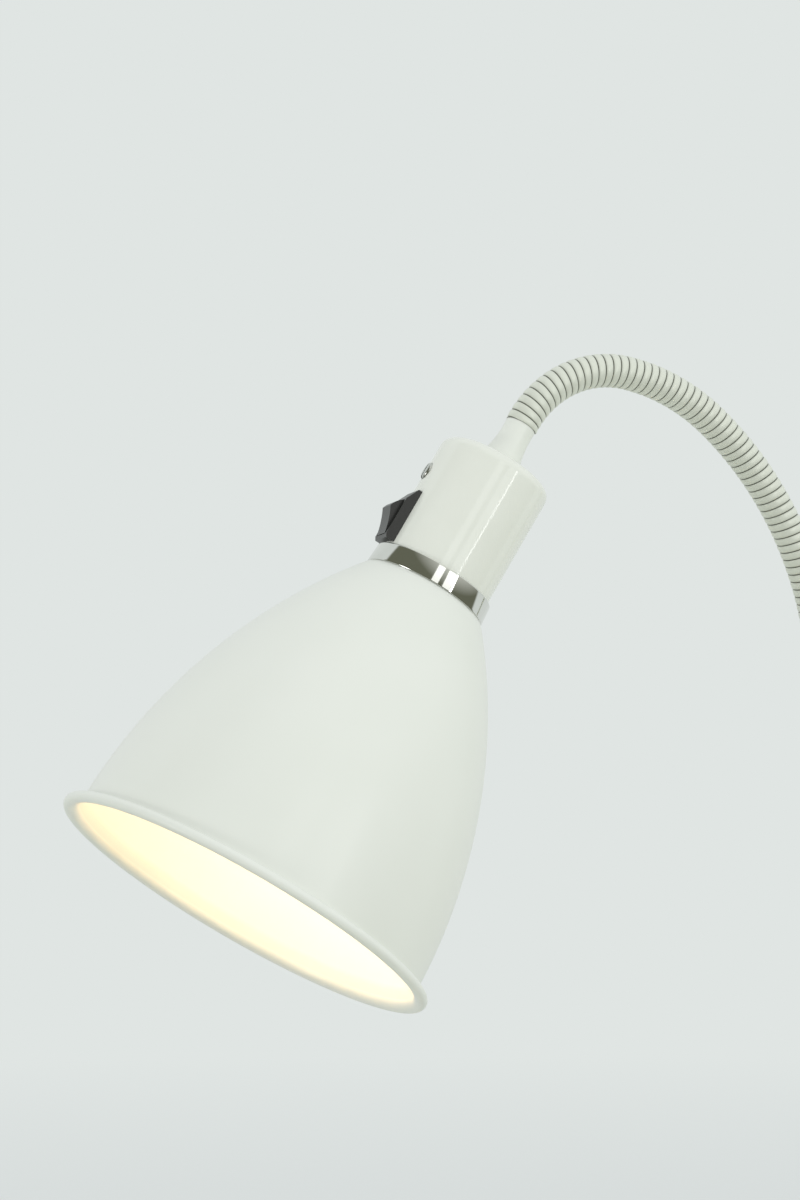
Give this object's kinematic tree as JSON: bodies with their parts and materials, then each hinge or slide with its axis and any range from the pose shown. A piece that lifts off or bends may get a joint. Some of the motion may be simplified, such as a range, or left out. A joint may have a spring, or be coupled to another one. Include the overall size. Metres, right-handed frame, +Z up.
{
  "type": "clip on reading lamp",
  "caption": "Clip on reading lamp: bell shade on a cylindrical lampholder housing with rocker switch, flexible gooseneck, and a sprung clip with rubber pads.",
  "frame": {"origin": "middle of the upper pad's grip, on the plane where it meets the top face of the shelf", "axes": "+Z up, away from the shelf; +X into the shelf, away from the clip's handles; the neck carries the head over towards -X; the cord inlet faces +Y"},
  "size_m": [0.2627, 0.1098, 0.3056],
  "materials": {
    "white_enamel": "satin stove enamel",
    "housing_plastic": "gloss moulded",
    "clip_plastic": "satin moulded",
    "neck_enamel": "satin enamel on wound steel",
    "chrome": "polished",
    "steel": "zinc plated",
    "brass": "bright",
    "black_plastic": "satin moulded",
    "rubber": "matte",
    "holder_plastic": "moulded thermoset",
    "bulb_glass": "opal",
    "core_blue": "insulation",
    "core_brown": "insulation",
    "lead_sheath": "insulation"
  },
  "bodies": {
    "root": {"clamp_screws": "steel", "clip_cover": "clip_plastic", "clip_lead_live": "core_brown", "clip_lead_neutral": "core_blue", "clip_nipple": "steel", "clip_nut": "steel", "clip_spring": "steel", "clip_washer": "steel", "cord_clamp": "holder_plastic", "cover_screws": "steel", "inlet_bush": "rubber", "neck_lead_0": "lead_sheath", "neck_socket": "neck_enamel", "neck_tube_0": "neck_enamel", "pin_retainer": "steel", "pivot_pin": "steel", "terminal_block": "holder_plastic", "upper_lever": "clip_plastic", "upper_pad": "rubber"},
    "neck_1": {"neck_tube_1": "neck_enamel", "neck_lead_1": "lead_sheath"},
    "neck_2": {"neck_tube_2": "neck_enamel", "neck_lead_2": "lead_sheath"},
    "neck_3": {"neck_tube_3": "neck_enamel", "neck_lead_3": "lead_sheath"},
    "neck_4": {"neck_tube_4": "neck_enamel", "neck_lead_4": "lead_sheath"},
    "neck_5": {"neck_tube_5": "neck_enamel", "neck_lead_5": "lead_sheath"},
    "neck_6": {"neck_tube_6": "neck_enamel", "neck_lead_6": "lead_sheath"},
    "neck_7": {"neck_tube_7": "neck_enamel", "neck_lead_7": "lead_sheath"},
    "head": {"shade": "white_enamel", "chrome_ring": "chrome", "socket_housing": "housing_plastic", "lampholder_body": "holder_plastic", "lampholder_shell": "brass", "lampholder_contact": "brass", "shade_nut": "holder_plastic", "bulb_glass": "bulb_glass", "bulb_collar": "holder_plastic", "bulb_cap": "steel", "bulb_tip": "steel", "switch_body": "black_plastic", "switch_terminals": "brass", "housing_screw": "steel", "holder_bridge": "steel", "head_ferrule": "white_enamel", "head_nipple": "steel", "head_nut": "steel", "head_washer": "steel", "lead_live": "core_brown", "lead_switched": "core_brown", "lead_neutral": "core_blue", "neck_tube_8": "neck_enamel", "neck_lead_8": "lead_sheath"},
    "rocker": {"switch_rocker": "black_plastic"},
    "lower_jaw": {"lower_lever": "clip_plastic", "lower_pad": "rubber"}
  },
  "joints": [
    {"name": "bend_1", "type": "hinge", "parent": "root", "child": "neck_1", "pos_m": [-0.026, 0, 0.066], "axis": [-1, 0, 0], "range_deg": [-25, 25]},
    {"name": "bend_2", "type": "hinge", "parent": "neck_1", "child": "neck_2", "pos_m": [-0.026, 0, 0.124], "axis": [0, 1, 0], "range_deg": [-25, 25]},
    {"name": "bend_3", "type": "hinge", "parent": "neck_2", "child": "neck_3", "pos_m": [-0.026, 0, 0.184], "axis": [-1, 0, 0], "range_deg": [-25, 25]},
    {"name": "bend_4", "type": "hinge", "parent": "neck_3", "child": "neck_4", "pos_m": [-0.03515, 0, 0.22579], "axis": [0, 1, 0], "range_deg": [-25, 25]},
    {"name": "bend_5", "type": "hinge", "parent": "neck_4", "child": "neck_5", "pos_m": [-0.06092, 0, 0.25993], "axis": [0, -1, 0], "range_deg": [-25, 20]},
    {"name": "bend_6", "type": "hinge", "parent": "neck_5", "child": "neck_6", "pos_m": [-0.087, 0, 0.2727], "axis": [0, -1, 0], "range_deg": [-25, 12]},
    {"name": "bend_7", "type": "hinge", "parent": "neck_6", "child": "neck_7", "pos_m": [-0.10183, 0, 0.272], "axis": [0.2932, 0, -0.956], "range_deg": [-25, 25]},
    {"name": "bend_8", "type": "hinge", "parent": "neck_7", "child": "head", "pos_m": [-0.11451, 0, 0.26427], "axis": [0, -1, 0], "range_deg": [-25, 12]},
    {"name": "rocker_tip", "type": "hinge", "parent": "head", "child": "rocker", "pos_m": [-0.15371, 0.00262, 0.23173], "axis": [0.1463, 0.9848, -0.0936], "range_deg": [0, 16]},
    {"name": "jaw_open", "type": "hinge", "parent": "root", "child": "lower_jaw", "pos_m": [-0.042, 0, -0.0002], "axis": [0, 1, 0], "range_deg": [0, 30], "stiffness_Nm_per_rad": 0.6, "springref_deg": -51.57, "deforming": ["clip_spring"]}
  ]
}
